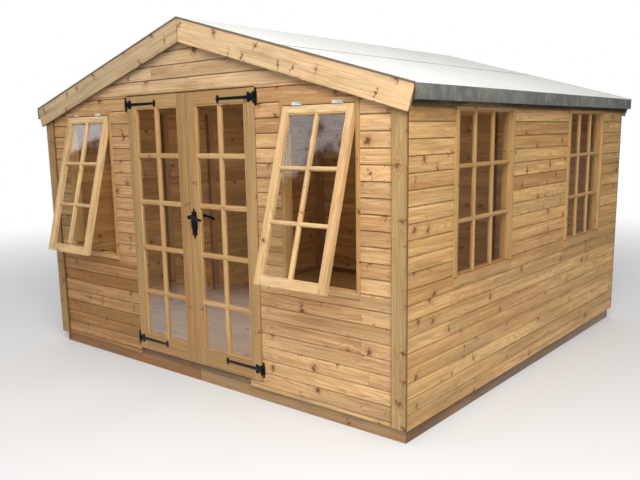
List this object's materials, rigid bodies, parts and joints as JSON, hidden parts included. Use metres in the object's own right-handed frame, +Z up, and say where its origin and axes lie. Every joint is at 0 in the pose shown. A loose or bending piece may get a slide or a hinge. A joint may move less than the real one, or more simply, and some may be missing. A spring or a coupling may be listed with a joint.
{
  "type": "summerhouse",
  "caption": "Square timber summerhouse with a shallow pitched felt roof, glazed double doors, top hung front windows held open and fixed windows in one side wall.",
  "frame": {"origin": "on the ground at the middle of the plan, on the underside of the middle floor joist", "axes": "+Z up, the front with the doors faces -Y, the wall with the fixed windows faces +X"},
  "size_m": [3.11, 3.2994, 2.14],
  "materials": {
    "cladding": "sawn, pressure treated",
    "framing": "sawn, pressure treated",
    "rim_timber": "sawn, pressure treated",
    "deck_timber": "sawn, pressure treated",
    "corner_timber": "sawn, pressure treated",
    "door_timber": "sawn, pressure treated",
    "window_timber": "sawn, pressure treated",
    "barge_timber": "sawn, pressure treated",
    "roof_timber": "sawn, pressure treated",
    "roof_felt": "mineral felt, rough",
    "black_iron": "black, hammered",
    "zinc": "zinc plated, dull",
    "glass": "clear float"
  },
  "bodies": {
    "shell": {"rim_boards_ends": "rim_timber", "rim_boards_sides": "rim_timber", "floor_joists": "framing", "floor_deck": "deck_timber", "bottom_plates_ends": "framing", "bottom_plates_sides": "framing", "top_plates": "framing", "gable_plates": "framing", "studs_ends": "framing", "studs_sides": "framing", "window_trimmers": "framing", "door_head": "framing", "door_stops": "framing", "front_wall_left": "cladding", "front_wall_right": "cladding", "front_gable": "cladding", "back_wall": "cladding", "left_wall": "cladding", "right_wall": "cladding", "corner_boards": "corner_timber", "hinge_plates": "black_iron", "front_window_frames": "window_timber", "front_window_sashes": "window_timber", "front_window_glass": "glass", "sash_hinges": "zinc", "window_stays": "black_iron", "side_window_frames": "window_timber", "side_window_glass": "glass", "ridge_beam": "framing", "purlins": "framing", "roof_boards_left": "roof_timber", "roof_boards_right": "roof_timber", "roof_felt_left": "roof_felt", "roof_felt_right": "roof_felt", "eave_fascias": "roof_timber", "bargeboards_front": "barge_timber", "bargeboards_back": "barge_timber"},
    "left_leaf": {"door_left": "door_timber", "door_left_glass": "glass", "door_left_straps": "black_iron"},
    "right_leaf": {"door_right": "door_timber", "door_right_glass": "glass", "door_right_straps": "black_iron", "door_handle": "black_iron"}
  },
  "joints": [
    {"name": "left_door_swing", "type": "hinge", "parent": "shell", "child": "left_leaf", "pos_m": [-0.552, -1.5095, 0.9225], "axis": [0, 0, -1], "range_deg": [0, 110]},
    {"name": "right_door_swing", "type": "hinge", "parent": "shell", "child": "right_leaf", "pos_m": [0.552, -1.5095, 0.9225], "axis": [0, 0, 1], "range_deg": [0, 110]}
  ]
}
